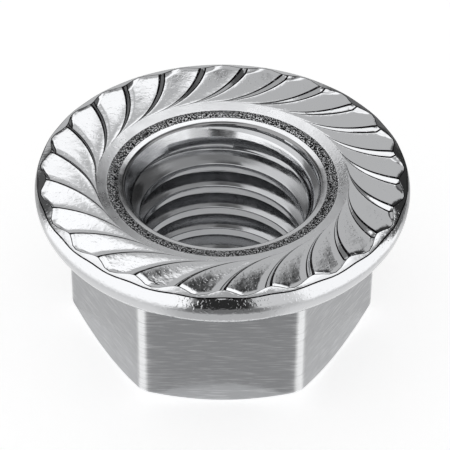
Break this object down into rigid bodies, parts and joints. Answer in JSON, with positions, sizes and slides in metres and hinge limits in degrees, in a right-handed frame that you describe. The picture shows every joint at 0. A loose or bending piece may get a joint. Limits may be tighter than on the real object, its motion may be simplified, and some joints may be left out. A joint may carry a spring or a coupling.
{
  "type": "flange lock nut",
  "caption": "Hexagon nut with a broad integral flange whose bearing face carries curved ratchet serrations round a smooth land, to resist loosening.",
  "frame": {"origin": "centre of the plain end face of the hexagon, on the thread axis", "axes": "+Z along the thread axis, from the plain end to the serrated flange; the hexagon's corners point along +X and -X and its flats face +Y and -Y"},
  "size_m": [0.0192, 0.0192, 0.0097],
  "materials": {
    "plated_steel": "bright plated steel with a fine grain in the stamped face and brushed flats"
  },
  "bodies": {
    "root": {"flange_nut": "plated_steel"}
  },
  "joints": []
}
